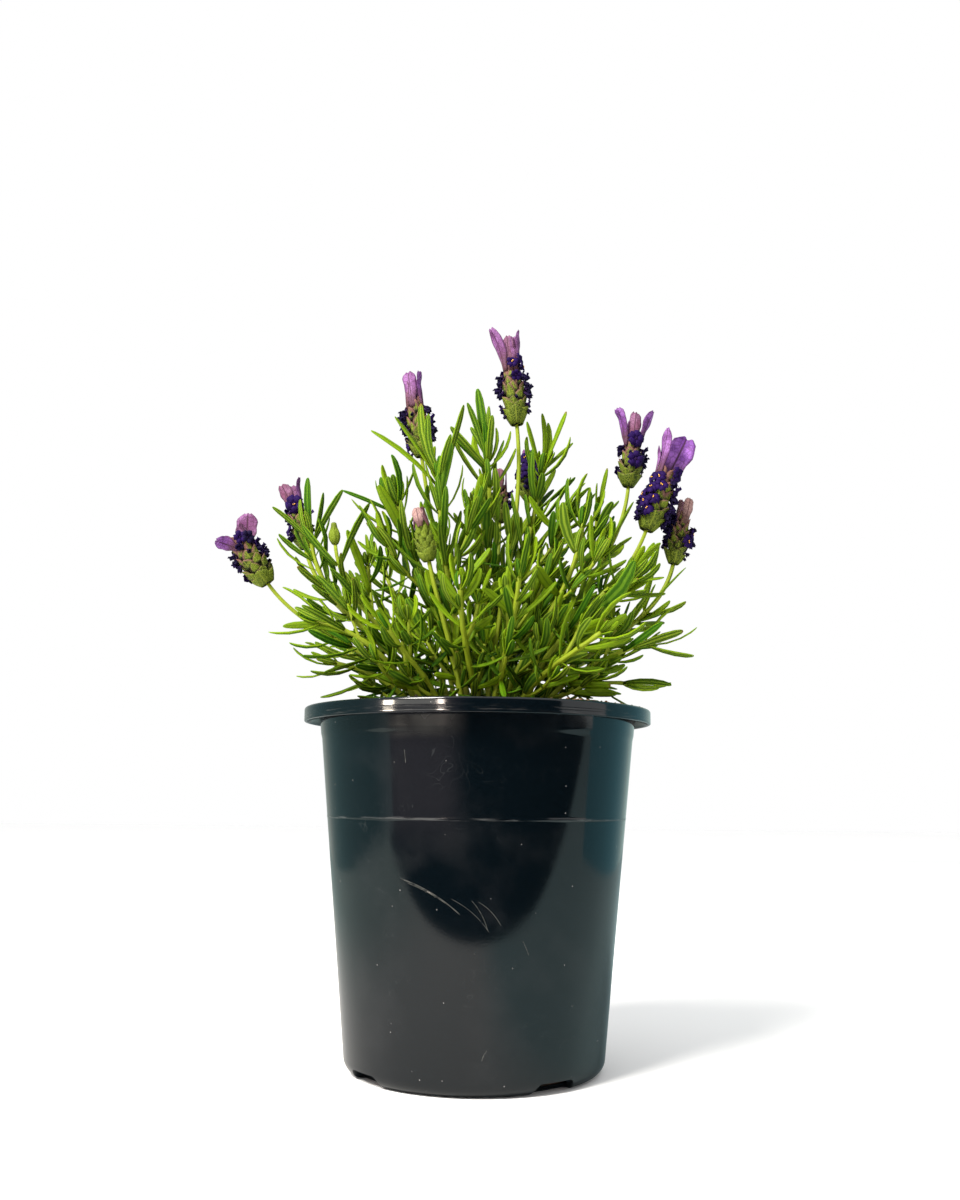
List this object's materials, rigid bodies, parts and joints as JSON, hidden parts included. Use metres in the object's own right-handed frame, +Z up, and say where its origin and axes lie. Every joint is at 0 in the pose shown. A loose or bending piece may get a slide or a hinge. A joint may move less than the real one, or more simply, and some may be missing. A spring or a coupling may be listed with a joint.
{
  "type": "potted lavender",
  "caption": "Flowering Spanish lavender in a black round nursery pot: leafy stems with green flower spikes, dark florets and mauve bracts, on a flat base with drain notches.",
  "frame": {"origin": "centre of the pot's flat floor, on the surface that the pot stands on", "axes": "+Z up along the pot's axis; -Y is the side that the picture shows, +X is to the right in it"},
  "size_m": [0.2892, 0.2196, 0.4272],
  "materials": {
    "pot_plastic": "black injection-moulded plastic, glossy, with fine scuffs and dust",
    "bark_mix": "moist dark potting mix of composted bark, crumbly and matt",
    "green_growth": "fresh green stems and narrow leaves, satin with a fine down, paler under the leaves",
    "flower_spike": "green scales with brown-pink edges and small indigo florets, matt and downy",
    "bract": "thin mauve petal-like bracts with darker veins, soft satin"
  },
  "bodies": {
    "root": {"pot": "pot_plastic", "potting_mix": "bark_mix", "stem_top": "green_growth", "stem_upper_left": "green_growth", "stem_far_left": "green_growth", "stem_left_back": "green_growth", "stem_front_young": "green_growth", "stem_left_bud": "green_growth", "stem_middle_back": "green_growth", "stem_hidden_back": "green_growth", "stem_right_high": "green_growth", "stem_right_big": "green_growth", "stem_right_low": "green_growth", "stem_crown_left": "green_growth", "stem_shoulder_left": "green_growth", "stem_outer_left": "green_growth", "stem_crown_middle": "green_growth", "stem_crown_right": "green_growth", "stem_bright": "green_growth", "stem_shoulder_right": "green_growth", "stem_broad_leaves": "green_growth", "stem_sprawl_right": "green_growth", "stem_rim_right": "green_growth", "stem_sprawl_left": "green_growth", "stem_rim_left": "green_growth", "stem_front_left": "green_growth", "stem_front_middle": "green_growth", "stem_front_right": "green_growth", "stem_low_front_right": "green_growth", "stem_back_left": "green_growth", "stem_back_middle": "green_growth", "stem_back_right": "green_growth", "stem_low_back_left": "green_growth", "stem_low_back_right": "green_growth", "stem_low_back": "green_growth", "spike_top": "flower_spike", "tuft_top": "bract", "spike_upper_left": "flower_spike", "tuft_upper_left": "bract", "spike_far_left": "flower_spike", "tuft_far_left": "bract", "spike_left_back": "flower_spike", "tuft_left_back": "bract", "spike_front_young": "flower_spike", "tuft_front_young": "bract", "spike_middle_back": "flower_spike", "tuft_middle_back": "bract", "spike_hidden_back": "flower_spike", "tuft_hidden_back": "bract", "spike_right_high": "flower_spike", "tuft_right_high": "bract", "spike_right_big": "flower_spike", "tuft_right_big": "bract", "spike_right_low": "flower_spike", "tuft_right_low": "bract", "bud_left": "flower_spike"}
  },
  "joints": []
}
